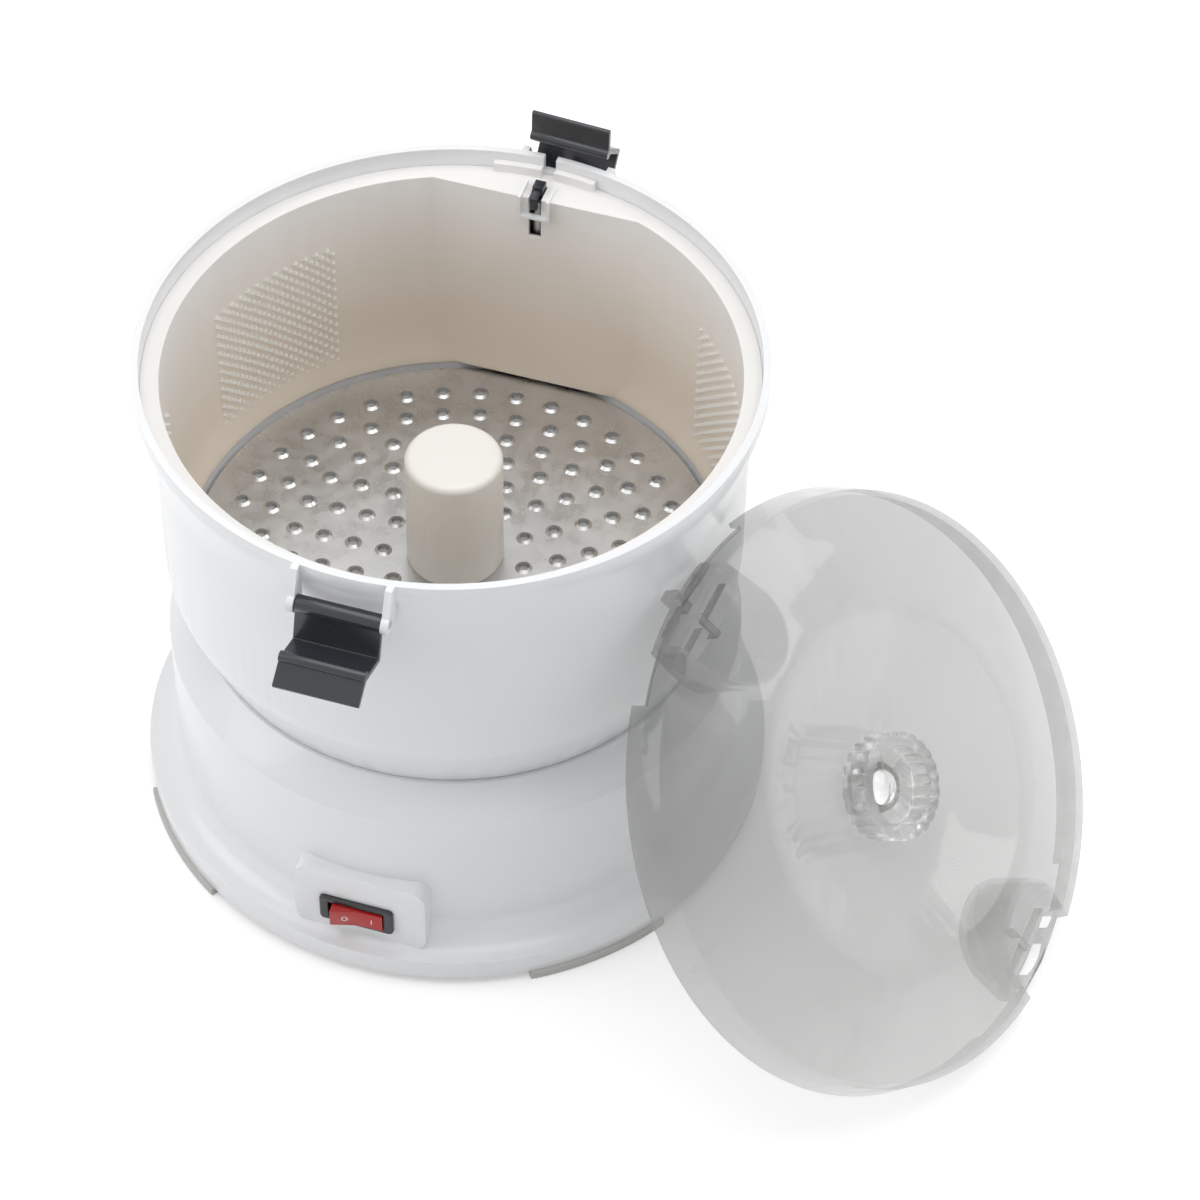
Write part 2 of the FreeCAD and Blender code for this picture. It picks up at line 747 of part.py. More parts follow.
def motor_rotor():
    z0 = motor_mid_z() - rotor_length / 2
    body = ring(rotor_r, motor_shaft_r + fit, z0, z0 + rotor_length, motor_x, motor_y)
    slots = []
    for i in range(rotor_slots):
        slot = block(rotor_r - rotor_slot_depth, rotor_r + 1, -rotor_slot_width / 2, rotor_slot_width / 2,
                     z0 - 1, z0 + rotor_length + 1)
        slot = turned(slot, 360.0 / rotor_slots * i)
        slot.translate(V(motor_x, motor_y, 0))
        slots.append(slot)
    return body.cut(slots)


def motor_stator():
    z0 = motor_mid_z() - rotor_length / 2
    return ring(motor_r - motor_can_wall - fit, stator_inner_r, z0, z0 + rotor_length, motor_x, motor_y)


def motor_housing():
    can = cylinder(motor_r, motor_bottom_z, plate_z, motor_x, motor_y)
    inner = cylinder(motor_r - motor_can_wall, motor_bottom_z + motor_can_wall, plate_z - motor_can_wall,
                     motor_x, motor_y)
    can = can.cut(inner)
    seats = []
    for z0 in (motor_bottom_z, plate_z - motor_bearing_width):
        seats.append(cylinder(motor_bearing_r + motor_can_wall, z0, z0 + motor_bearing_width, motor_x, motor_y))
    can = can.fuse(seats).cut(cylinder(motor_bearing_r + fit, motor_bottom_z - 1, plate_z + 1, motor_x, motor_y))
    holes = [cylinder(screw_r + fit, plate_z - 2 * motor_can_wall, plate_z + 1, x, y)
             for x, y in motor_screw_places()]
    return can.cut(holes).removeSplitter()


def motor_bearings():
    rings = []
    for z0 in (motor_bottom_z, plate_z - motor_bearing_width):
        rings.append(ring(motor_bearing_r, motor_shaft_r + running, z0, z0 + motor_bearing_width,
                          motor_x, motor_y))
    return Part.makeCompound(rings)


def cooling_fan():
    top = fan_top_z()
    z0 = top - fan_height
    fan = cylinder(fan_r, top - fan_disc, top).fuse(cylinder(fan_hub_r, z0, top))
    blades = []
    for i in range(fan_blades):
        blade = block(fan_hub_r - 1, fan_r, -fan_disc / 2, fan_disc / 2, z0, top)
        blades.append(turned(blade, 360.0 / fan_blades * i))
    fan = fan.fuse(blades).cut(cylinder(motor_shaft_r + fit, z0 - 1, top + 1)).removeSplitter()
    fan.translate(V(motor_x, motor_y, 0))
    return fan


def rocker_axis_y():
    return panel_face_y - bezel_thickness + rocker_axis_depth


def switch_housing():
    front = panel_face_y - bezel_thickness
    bezel = rounded_panel(bezel_length / 2, switch_z - bezel_height / 2, switch_z + bezel_height / 2,
                          bezel_corner, front, panel_face_y, switch_x)
    outer_edges = [e for e in bezel.Edges if abs(e.BoundBox.YMax - front) < 1e-6]
    bezel = bezel.makeChamfer(bezel_edge, outer_edges)
    body = block(switch_x - switch_body_length / 2, switch_x + switch_body_length / 2,
                 panel_face_y, panel_face_y + switch_body_depth,
                 switch_z - switch_body_height / 2, switch_z + switch_body_height / 2)
    reach = math.sin(math.radians(rocker_tilt)) * (rocker_rise + rocker_axis_depth)
    half = rocker_length / 2 + reach + seat_gap
    high = rocker_height / 2 + seat_gap
    well = block(switch_x - half, switch_x + half, front - 1, rocker_axis_y() + rocker_depth + pass_gap,
                 switch_z - high, switch_z + high)
    pins = Part.makeCylinder(trunnion_r + running, 2 * (high + trunnion_length),
                             V(switch_x, rocker_axis_y() + rocker_axis_depth,
                               switch_z - high - trunnion_length))
    return bezel.fuse(body).removeSplitter().cut([well, pins])


def rocker():
    pivot_y = rocker_axis_y() + rocker_axis_depth
    half = rocker_length / 2
    face = rocker_axis_y() - rocker_axis_depth
    points = [(-half, face - rocker_rise), (0, face - rocker_valley), (half, face - rocker_rise),
              (half - bezel_edge, pivot_y), (rocker_foot / 2, pivot_y + rocker_depth / 2),
              (-rocker_foot / 2, pivot_y + rocker_depth / 2), (bezel_edge - half, pivot_y)]
    corners = [V(switch_x + x, y, switch_z - rocker_height / 2) for x, y in points]
    body = Part.Face(Part.makePolygon(corners + corners[:1])).extrude(V(0, 0, rocker_height))
    length = rocker_height + 2 * trunnion_length
    pins = Part.makeCylinder(trunnion_r, length, V(switch_x, pivot_y, switch_z - length / 2))
    return turned(body.fuse(pins).removeSplitter(), rocker_tilt, switch_x, pivot_y)


def switch_terminals():
    blades = []
    y0 = panel_face_y + switch_body_depth
    for x in (-terminal_pitch, 0, terminal_pitch):
        blades.append(block(switch_x + x - terminal_thickness / 2, switch_x + x + terminal_thickness / 2,
                            y0, y0 + terminal_length, switch_z - terminal_width / 2, switch_z + terminal_width / 2))
    return Part.makeCompound(blades)


def interlock_microswitch():
    body = block(-microswitch_half_length, microswitch_half_length, microswitch_inner_y, microswitch_outer_y,
                 microswitch_top_z - microswitch_height, microswitch_top_z)
    holes = [cylinder(button_r + running, microswitch_top_z - microswitch_height / 2, microswitch_top_z + 1,
                      0, rod_low_y)]
    for x in (-microswitch_half_length / 2, microswitch_half_length / 2):
        holes.append(Part.makeCylinder(screw_r + fit, microswitch_width, V(x, microswitch_inner_y - 1,
                                       microswitch_screw_z), V(0, 1, 0)))
    legs = []
    low = microswitch_top_z - microswitch_height
    for x in (-contact_pitch, 0, contact_pitch):
        legs.append(block(x - contact_width / 2, x + contact_width / 2, rod_y, rod_y + contact_thickness,
                          low - contact_length, low))
    return body.cut(holes).fuse(legs).removeSplitter()


def microswitch_screws():
    screws = []
    y0 = microswitch_inner_y - bracket_depth
    for x in (-microswitch_half_length / 2, microswitch_half_length / 2):
        shank = Part.makeCylinder(screw_r, bracket_depth + microswitch_width / 2,
                                  V(x, y0, microswitch_screw_z), V(0, 1, 0))
        head = Part.makeCylinder(screw_head_r, screw_head_height,
                                 V(x, y0, microswitch_screw_z), V(0, -1, 0))
        screws.append(shank.fuse(head).removeSplitter())
    return Part.makeCompound(screws)


def microswitch_button():
    return cylinder(button_r, microswitch_top_z - button_rest, rod_bottom_z - seat_gap, 0, rod_low_y)


def cord_gland():
    wall_y = math.sqrt(collar_r ** 2 - gland_flange_r ** 2)
    flange = Part.makeCylinder(gland_flange_r, gland_flange, V(0, collar_r + fit, gland_z), V(0, 1, 0))
    body = Part.makeCylinder(gland_r, gland_length, V(0, collar_r + gland_flange - gland_length, gland_z),
                             V(0, 1, 0))
    boot = Part.makeCone(gland_r, gland_bore + 1, gland_length, V(0, collar_r + gland_flange, gland_z),
                         V(0, 1, 0))
    bore = Part.makeCylinder(gland_bore, 4 * gland_length, V(0, wall_y - 2 * gland_length, gland_z), V(0, 1, 0))
    return flange.fuse([body, boot]).cut(bore).removeSplitter()


def latch_ears(azimuth):
    """Two plates on the rim that carry a latch pin."""
    z_top = rim_z
    flat = outline((lip_inner_r + 1, ear_low_z), [
        (hinge_r, hinge_z - ear_nose_r),
        ((hinge_r + ear_nose_r, hinge_z), (hinge_r + ear_nose_r * quarter_turn, hinge_z + ear_nose_r * 0.98)),
        (rim_r + ear_shoulder, z_top),
        (lip_inner_r + 1, z_top)], lambda p: V(0, -p[0], p[1]))
    plates = []
    for x in (-latch_half_width - running - ear_thickness, latch_half_width + running):
        plate = Part.Face(flat).extrude(V(ear_thickness, 0, 0))
        plate.translate(V(x, 0, 0))
        plates.append(plate)
    bore = Part.makeCylinder(pin_r + fit, 4 * latch_half_width, V(-2 * latch_half_width, -hinge_r, hinge_z),
                             V(1, 0, 0))
    return turned(Part.makeCompound(plates).cut(bore), azimuth)


def latch_pin(azimuth):
    half = latch_half_width + running + ear_thickness
    return turned(Part.makeCylinder(pin_r, 2 * half, V(-half, -hinge_r, hinge_z), V(1, 0, 0)), azimuth)


def latch(azimuth, turn):
    """One bent plate with a bead and a finger lip, turned back from closed."""
    lip = math.radians(latch_lip_angle)
    bend = (0.0, latch_rise)
    bead_at = (-latch_reach, latch_rise)
    tip = (bead_at[0] + latch_lip * math.cos(lip), bead_at[1] + latch_lip * math.sin(lip))
    pieces = [bar_between((0.0, 0.0), bend), bar_between(bend, bead_at), bar_between(bead_at, tip)]
    pieces.append(rod_across(bead_at[0], bead_at[1] - latch_plate / 2, bead_r))
    body = rod_across(0, 0, barrel_r).fuse(pieces).removeSplitter()
    body = body.cut(rod_across(0, 0, pin_r + running, 1))
    body.rotate(V(0, -hinge_r, hinge_z), V(1, 0, 0), turn)
    return turned(body, azimuth)


def rod_across(out, up, r, extra=0):
    """A round bar along the latch's width. out and up are measured from the pin."""
    half = latch_half_width + extra
    return Part.makeCylinder(r, 2 * half, V(-half, -hinge_r - out, hinge_z + up), V(1, 0, 0))


def bar_between(a, b):
    """A flat plate with round ends between two places on the latch's section."""
    length = math.hypot(b[0] - a[0], b[1] - a[1])
    plate = block(-latch_half_width, latch_half_width, 0, length, -latch_plate / 2, latch_plate / 2)
    tilt = math.degrees(math.atan2(b[1] - a[1], -(b[0] - a[0])))
    plate.rotate(V(0, 0, 0), V(1, 0, 0), tilt)
    plate.translate(V(0, -hinge_r - a[0], hinge_z + a[1]))
    return plate.fuse([rod_across(a[0], a[1], latch_plate / 2), rod_across(b[0], b[1], latch_plate / 2)])


def rim_notch(z0):
    return block(notch_x - notch_half_width, notch_x + notch_half_width, lid_r - stop_bar_width - 2 * lid_wall,
                 rim_r + 2, z0, rim_z + 1)


def bowl_shell():
    inner_foot = drum_foot_r + cone_slope * drum_floor - drum_wall
    curve_mid_z = (drum_cone_z + drum_wall_z) / 2
    curve_mid_r = drum_wall_r - cone_step * curve_bow
    flare_mid_z = (drum_flare_z + flare_top_z) / 2
    flare_mid_r = drum_wall_r + (drum_flare_r - drum_wall_r) * flare_bow
    shell = revolved((sleeve_bore + fit, drum_low_z), [
        (drum_foot_r, drum_low_z),
        (drum_cone_r, drum_cone_z),
        ((curve_mid_r, curve_mid_z), (drum_wall_r, drum_wall_z)),
        (drum_wall_r, drum_flare_z),
        ((flare_mid_r, flare_mid_z), (drum_flare_r, flare_top_z)),
        (rim_r, rim_low_z),
        (rim_r, rim_z),
        (lip_inner_r, rim_z),
        (lip_inner_r, shelf_low_z),
        (drum_flare_r - 2 * drum_wall, shelf_low_z),
        ((flare_mid_r - drum_wall, flare_mid_z), (drum_inner_r, drum_flare_z)),
        (drum_inner_r, drum_wall_z),
        ((curve_mid_r - drum_wall, curve_mid_z), (drum_cone_r - drum_wall, drum_cone_z)),
        (inner_foot, floor_top_z),
        (sleeve_r, floor_top_z),
        (sleeve_r, sleeve_top_z),
        (sleeve_bore + fit, sleeve_top_z)])
    low_ring = ring(locating_ring_r, locating_ring_r - locating_ring_wall,
                    drum_low_z - locating_ring_depth, drum_low_z)
    key = block(-key_half_width, key_half_width, key_inner_y, key_outer_y, key_low_z, key_top_z)
    seat_half = rod_head_width
    seat = block(-seat_half, seat_half, facet_y + liner_wall + seat_gap, drum_inner_r + 1,
                 spring_seat_z - collar_thickness, spring_seat_z)
    shell = shell.fuse([low_ring, key, seat, latch_ears(0), latch_ears(rear_latch_azimuth)])
    slot = rod_width / 2 + seat_gap
    low_channel = block(-slot, slot, rod_low_y - slot, rod_low_y + slot, key_low_z - 1, key_top_z + 1)
    upper_channel = block(-slot, slot, rod_y - slot, rod_y + slot, spring_seat_z - 2 * collar_thickness, spring_seat_z + 1)
    return shell.cut([low_channel, upper_channel, rim_notch(rim_z - notch_depth)]).removeSplitter()


def liner_body(wall, high_z, cut_y):
    """The space inside the liner, or the whole liner when the wall is left out."""
    top_r = liner_outer_r - wall
    low_r = liner_foot_r - wall
    mid_z = (liner_low_z + liner_curve_z) / 2
    mid_r = top_r - (top_r - low_r) * liner_bow
    body = revolved((0, liner_low_z), [
        (low_r, liner_low_z),
        ((mid_r, mid_z), (top_r, liner_curve_z)),
        (top_r, high_z),
        (0, high_z)])
    return body.common(block(-rim_r, rim_r, -rim_r, cut_y, liner_low_z, high_z))


def inner_liner():
    outer = liner_body(0, shelf_z, facet_y + liner_wall)
    shelf = cylinder(lip_inner_r - fit, shelf_low_z, shelf_z)
    bar = sector(lip_inner_r - fit, lip_inner_r - stop_bar_width, shelf_z - 1, shelf_z + stop_bar_height,
                 180, stop_bar_half_angle)
    solid = outer.fuse(shelf).cut(liner_body(liner_wall, shelf_z + 1, facet_y)).fuse(bar)
    half = rod_head_width / 2 + seat_gap
    slot = block(-half, half, facet_y - 2, rod_y + rod_head_length / 2 + seat_gap,
                 shelf_low_z - 2 * guide_drop, shelf_z + stop_bar_height + 1)
    return solid.cut([slot, rim_notch(shelf_z)]).removeSplitter()


def interlock_guide():
    front_y = tongue_y - guide_wall / 2
    pieces = []
    for x in (-guide_half_width, guide_half_width - guide_wall):
        pieces.append(block(x, x + guide_wall, front_y, facet_y, guide_low_z, shelf_z + guide_height))
        pieces.append(block(x, x + guide_wall, front_y, front_y + guide_length, shelf_z, shelf_z + guide_height))
    pieces.append(block(-guide_half_width, guide_half_width, front_y, facet_y, guide_low_z, guide_low_z + guide_wall))
    return joined(pieces[0], pieces[1:])


def interlock_rod():
    half = rod_width / 2
    upper = block(-half, half, rod_y - half, rod_y + half, rod_jog_z, rod_top_z)
    jog = block(-half, half, rod_y - half, rod_low_y + half, rod_jog_z, rod_jog_z + rod_jog_height)
    lower = block(-half, half, rod_low_y - half, rod_low_y + half, rod_bottom_z, rod_jog_z + rod_jog_height)
    head_low_z = shelf_z - pass_gap
    head = block(-rod_head_width / 2, rod_head_width / 2, rod_y - rod_head_length / 2,
                 rod_y + rod_head_length / 2, head_low_z, rod_top_z)
    arm_top = rod_top_z - arm_step
    arm = block(-tongue_width / 2, tongue_width / 2, tongue_y, rod_y, head_low_z, arm_top)
    tongue = block(-tongue_width / 2, tongue_width / 2, tongue_y, tongue_y + tongue_thickness,
                   arm_top - tongue_drop, arm_top)
    collar_half = spring_inner_r + spring_wall
    collar = block(-collar_half, collar_half, rod_y - collar_half, rod_y + collar_half,
                   collar_low_z, collar_top_z)
    return joined(upper, [jog, lower, head, arm, tongue, collar])


def interlock_spring():
    """Closed-wound coil, drawn as a plain sleeve between its seat and the rod's collar."""
    return ring(spring_inner_r + spring_wall, spring_inner_r, spring_seat_z, collar_low_z, 0, rod_y)


def disc_carrier():
    plate_top = disc_z - disc_thickness
    tube_inner = carrier_tube_r - carrier_tube_wall
    body = cylinder(carrier_r, carrier_low_z, plate_top).fuse(cylinder(carrier_tube_r, carrier_low_z, carrier_top_z))
    ribs = []
    for i in range(carrier_ribs):
        rib = block(carrier_tube_r - 1, carrier_r - carrier_plate, -carrier_rib_width / 2, carrier_rib_width / 2,
                    carrier_low_z - carrier_rib_depth, carrier_low_z)
        ribs.append(turned(rib, 360.0 / carrier_ribs * i))
    ribs.append(ring(carrier_r - carrier_plate, carrier_r - 2 * carrier_plate,
                     carrier_low_z - carrier_rib_depth, carrier_low_z))
    ribs.append(cylinder(carrier_tube_r, carrier_low_z - carrier_rib_depth, carrier_low_z))
    body = body.fuse(ribs)
    hollow = cylinder(tube_inner, carrier_low_z - carrier_rib_depth - 1, sleeve_top_z + 2 * pass_gap)
    socket = hexagon(hex_across_flats + 2 * running, sleeve_top_z, spindle_top_z + running)
    return body.cut([hollow, socket]).removeSplitter()


def grater_disc():
    z0 = disc_z - disc_thickness
    loops = [Part.Wire(Part.makeCircle(disc_r, V(0, 0, z0)))]
    loops.append(Part.Wire(Part.makeCircle(carrier_tube_r + fit, V(0, 0, z0))))
    for k in range(hole_rings):
        r = hole_ring_first + hole_ring_step * k
        count = int(2 * math.pi * r / hole_pitch)
        for i in range(count):
            a = 2 * math.pi * (i + 0.5 * (k % 2)) / count
            loops.append(Part.Wire(Part.makeCircle(hole_r, V(r * math.cos(a), r * math.sin(a), z0))))
    return Part.Face(loops, "Part::FaceMakerBullseye").extrude(V(0, 0, disc_thickness))


def hub_cap():
    top = hub_cap_z
    edge = hub_cap_edge
    inner = hub_cap_r - hub_cap_wall
    return revolved((inner, disc_z), [
        (hub_cap_r, disc_z),
        (hub_cap_r, top - edge),
        ((hub_cap_r - edge * quarter_turn, top - edge * quarter_turn), (hub_cap_r - edge, top)),
        (0, top),
        (0, top - hub_cap_wall),
        (inner - 1, top - hub_cap_wall),
        (inner, top - hub_cap_wall - 1)])


def lid_surface(inset):
    """The lid's revolved form, drawn inside its outer surface by the inset."""
    return revolved((0, 0), [
        (lid_r - inset, 0),
        (lid_corner_r - inset, lid_skirt - inset),
        (dome_r, dome_h - inset),
        (dish_r + inset / 2, dish_h - inset),
        (floor_r + inset / 2, floor_h - inset),
        (0, floor_h - inset)])


def well_form(grow, low, outer_r):
    """A pocket with a round inner end, open outwards, on the local +X side."""
    half = well_half_width + grow
    centre = well_inner_r + well_half_width
    top = dome_h + lid_wall
    return block(centre, outer_r, -half, half, low, top).fuse(cylinder(half, low, top, centre, 0))


def lid_local():
    """The lid in its own frame: skirt edge on z = 0, dome upwards."""
    outside = lid_surface(0)
    shell = outside.cut(lid_surface(lid_wall))
    cuts = []
    adds = []
    for azimuth in (well_azimuth, well_azimuth + 180):
        walls = well_form(lid_wall, 0, rim_r)
        adds.append(turned(walls, azimuth).common(outside))
        strip_inner = lid_r - 2 * lid_wall
        cuts.append(turned(well_form(0, well_floor_h, strip_inner), azimuth))
        cuts.append(turned(well_form(0, well_strip_h, rim_r), azimuth))
    shell = shell.fuse(adds).cut(cuts)
    extras = []
    for azimuth in (well_azimuth, well_azimuth + 180):
        bar = block(catch_inner_r, catch_inner_r + catch_width, -well_half_width, well_half_width, 0, catch_h)
        rib = block(catch_inner_r - catch_rib_length, catch_inner_r + catch_width, -catch_rib_width / 2, catch_rib_width / 2,
                    0, catch_h + lid_wall)
        extras += [turned(bar, azimuth), turned(rib, azimuth)]
    shell = shell.fuse(extras)
    reliefs = []
    for azimuth in (well_azimuth, well_azimuth + 180):
        relief = Part.makeCylinder(rim_r, skirt_relief_h + 1, V(0, 0, -1), V(0, 0, 1), 2 * relief_half_angle)
        relief = relief.cut(cylinder(relief_wall_r, -2, skirt_relief_h + 1))
        reliefs.append(turned(relief, azimuth - relief_half_angle))
    tab = block(lid_r - key_tab_root, key_tab_r, -key_tab_width / 2, key_tab_width / 2, 0, skirt_relief_h + pass_gap)
    shell = shell.cut(reliefs).fuse(turned(tab, well_azimuth))
    return shell.cut(cylinder(knob_spigot_r + fit, 0, floor_h + 1)).removeSplitter()


def knob_local():
    points = []
    for i in range(2 * knob_lobes):
        r = knob_r - knob_lobe_depth * (i % 2)
        a = math.pi * i / knob_lobes
        points.append(V(r * math.cos(a), r * math.sin(a), floor_h))
    edges = []
    for i in range(0, 2 * knob_lobes, 2):
        before = points[i - 1]
        after = points[(i + 1) % (2 * knob_lobes)]
        edges.append(Part.Arc(before, points[i], after).toShape())
    cup = Part.Face(Part.Wire(edges)).extrude(V(0, 0, knob_top_h - floor_h))
    cup = cup.cut(cylinder(knob_bore_r, floor_h + knob_floor, knob_top_h + 1))
    sphere_r = (knob_dome_r ** 2 + knob_dome_h ** 2) / (2 * knob_dome_h)
    ball = Part.makeSphere(sphere_r, V(0, 0, floor_h + knob_floor + knob_dome_h - sphere_r))
    dome = ball.common(cylinder(knob_dome_r, floor_h, knob_top_h))
    spigot = cylinder(knob_spigot_r, floor_h - knob_spigot_length, floor_h)
    return joined(cup, [dome, spigot])


def knob_clip_local():
    top = floor_h - lid_wall
    return ring(knob_clip_r, knob_spigot_r + fit, top - knob_clip_thickness, top)


def lid_placement():
    """The lid stands on its skirt and leans on the drum with the first thing that meets it."""
    lean = math.radians(lid_lean)
    facing = V(*polar(1, lid_facing), 0)
    away = V(*polar(1, lid_azimuth), 0)
    normal = facing * math.cos(lean) + V(0, 0, math.sin(lean))
    level = V(0, 0, 1).cross(facing)
    slope = normal.cross(level)
    turn = math.radians(relief_half_angle)
    half = key_tab_width / 2
    touching = [(lid_r * math.cos(turn), -lid_r * math.sin(turn)), (key_tab_r, -half), (key_tab_r, half)]
    for i in range(20):
        a = turn * (i / 10 - 1)
        touching.append((relief_wall_r * math.cos(a), relief_wall_r * math.sin(a)))
    reach = drum_wall_r + seat_gap
    distance = max(standing_distance(p, level, facing, away, reach) for p in touching)
    height = lid_r * math.sin(math.radians(relief_corner)) * math.cos(lean)
    centre = away * distance + V(0, 0, height)
    return FreeCAD.Placement(FreeCAD.Matrix(level.x, slope.x, normal.x, centre.x,
                                            level.y, slope.y, normal.y, centre.y,
                                            level.z, slope.z, normal.z, centre.z,
                                            0, 0, 0, 1))


def standing_distance(point, level, facing, away, reach):
    """How far out the lid's centre is when a point by the upper well is at the drum's wall."""
    well = math.radians(well_azimuth)
    along_level = point[0] * math.cos(well) - point[1] * math.sin(well)
    along_slope = point[0] * math.sin(well) + point[1] * math.cos(well)
    arm = level * along_level - facing * (along_slope * math.sin(math.radians(lid_lean)))
    share = away.dot(arm)
    return math.sqrt(share ** 2 - arm.dot(arm) + reach ** 2) - share


def leaning(shape):
    shape.Placement = lid_placement().multiply(shape.Placement)
    return shape


save("base_shell", base_shell())
save("base_bottom_cover", base_bottom_cover())
save("foot_pads", foot_pads())
save("cover_screws", cover_screws())
save("gearbox_plate", gearbox_plate())
save("plate_screws", plate_screws())
save("motor_housing", motor_housing())
save("motor_stator", motor_stator())
save("motor_screws", motor_screws())
save("motor_bearings", motor_bearings())
save("intermediate_axle", intermediate_axle())
save("spindle_bush_lower", spindle_bush_lower())
save("spindle_bush_upper", spindle_bush_upper())
save("spindle_seal", spindle_seal())
save("switch_housing", switch_housing())
save("switch_terminals", switch_terminals())
save("interlock_microswitch", interlock_microswitch())
save("microswitch_screws", microswitch_screws())
save("cord_gland", cord_gland())
save("motor_shaft", motor_shaft())
save("motor_rotor", motor_rotor())
save("motor_pinion", motor_pinion())
save("cooling_fan", cooling_fan())
save("intermediate_gear", intermediate_gear())
save("drive_gear", drive_gear())
save("drive_spindle", drive_spindle())
save("spindle_circlip", spindle_circlip())
save("rocker", rocker())
save("microswitch_button", microswitch_button())
save("bowl_shell", bowl_shell())
save("inner_liner", inner_liner())
save("sleeve_bush", sleeve_bush())
save("front_latch_pin", latch_pin(0))
save("rear_latch_pin", latch_pin(rear_latch_azimuth))
save("interlock_guide", interlock_guide())
save("front_latch", latch(0, front_latch_turn))
save("rear_latch", latch(rear_latch_azimuth, rear_latch_turn))
save("interlock_rod", interlock_rod())
save("interlock_spring", interlock_spring())
save("disc_carrier", disc_carrier())
save("grater_disc", grater_disc())
save("hub_cap", hub_cap())
save("lid", leaning(lid_local()))
save("lid_knob", leaning(knob_local()))
save("lid_knob_clip", leaning(knob_clip_local()))
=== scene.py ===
import bpy
import bmesh
import json
import math
from mathutils import Matrix, Vector


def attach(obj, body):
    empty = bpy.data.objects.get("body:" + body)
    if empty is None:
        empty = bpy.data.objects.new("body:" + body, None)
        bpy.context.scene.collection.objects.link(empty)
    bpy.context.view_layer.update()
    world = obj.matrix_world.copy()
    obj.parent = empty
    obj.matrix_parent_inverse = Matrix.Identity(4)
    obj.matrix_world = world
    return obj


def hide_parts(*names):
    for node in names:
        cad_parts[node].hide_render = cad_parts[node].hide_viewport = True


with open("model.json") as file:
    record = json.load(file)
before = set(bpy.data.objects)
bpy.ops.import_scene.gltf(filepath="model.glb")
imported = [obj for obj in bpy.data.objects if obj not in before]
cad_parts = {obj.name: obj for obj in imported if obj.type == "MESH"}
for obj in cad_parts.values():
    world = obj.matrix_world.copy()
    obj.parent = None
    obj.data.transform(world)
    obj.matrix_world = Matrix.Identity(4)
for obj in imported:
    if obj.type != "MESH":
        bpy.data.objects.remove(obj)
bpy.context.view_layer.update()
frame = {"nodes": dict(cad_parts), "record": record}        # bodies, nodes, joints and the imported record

scene = bpy.context.scene
nodes = frame["nodes"]


# camera, as in the photograph
camera = {
    "place": (0.33185, -0.93712, 1.17583),
    "turn": (42.3955, -0.9886, 17.1894),     # degrees
    "lens": 108.0,
}


def makeCamera(values):
    data = bpy.data.cameras.new("camera")
    data.sensor_width = 36.0
    data.lens = values["lens"]
    data.clip_end = 20.0
    seen = bpy.data.objects.new("camera", data)
    seen.location = values["place"]
    seen.rotation_euler = [math.radians(a) for a in values["turn"]]
    scene.collection.objects.link(seen)
    scene.camera = seen


makeCamera(camera)
print("camera placed")


# materials

def newMaterial(name, color, roughness, **sockets):
    made = bpy.data.materials.new(name)
    made.use_nodes = True
    shader = made.node_tree.nodes["Principled BSDF"]
    shader.inputs["Base Color"].default_value = (*color, 1.0)
    shader.inputs["Roughness"].default_value = roughness
    for socket, value in sockets.items():
        shader.inputs[socket.replace("_", " ")].default_value = value
    return made


def addNode(material, kind, **values):
    made = material.node_tree.nodes.new(kind)
    for key, value in values.items():
        if key in made.inputs:
            made.inputs[key].default_value = value
        else:
            setattr(made, key, value)
    return made


def mottle(material, scale, low, high, stretch=(1, 1, 1), detail=4.0):
    # two close shades drift over the surface
    tree = material.node_tree
    place = addNode(material, "ShaderNodeTexCoord")
    mapping = addNode(material, "ShaderNodeMapping")
    mapping.inputs["Scale"].default_value = stretch
    noise = addNode(material, "ShaderNodeTexNoise", Scale=scale, Detail=detail)
    ramp = addNode(material, "ShaderNodeValToRGB")
    ramp.color_ramp.elements[0].position = 0.35
    ramp.color_ramp.elements[1].position = 0.65
    ramp.color_ramp.elements[0].color = (*low, 1)
    ramp.color_ramp.elements[1].color = (*high, 1)
    tree.links.new(place.outputs["Object"], mapping.inputs["Vector"])
    tree.links.new(mapping.outputs["Vector"], noise.inputs["Vector"])
    tree.links.new(noise.outputs["Fac"], ramp.inputs["Fac"])
    tree.links.new(ramp.outputs["Color"], tree.nodes["Principled BSDF"].inputs["Base Color"])
    return material


def varyRoughness(material, scale, low, high, stretch=(1, 1, 1)):
    tree = material.node_tree
    place = addNode(material, "ShaderNodeTexCoord")
    mapping = addNode(material, "ShaderNodeMapping")
    mapping.inputs["Scale"].default_value = stretch
    noise = addNode(material, "ShaderNodeTexNoise", Scale=scale, Detail=3.0)
    span = addNode(material, "ShaderNodeMapRange")
    span.inputs["From Min"].default_value = 0.3
    span.inputs["From Max"].default_value = 0.7
    span.inputs["To Min"].default_value = low
    span.inputs["To Max"].default_value = high
    tree.links.new(place.outputs["Object"], mapping.inputs["Vector"])
    tree.links.new(mapping.outputs["Vector"], noise.inputs["Vector"])
    tree.links.new(noise.outputs["Fac"], span.inputs["Value"])
    tree.links.new(span.outputs["Result"], tree.nodes["Principled BSDF"].inputs["Roughness"])
    return material


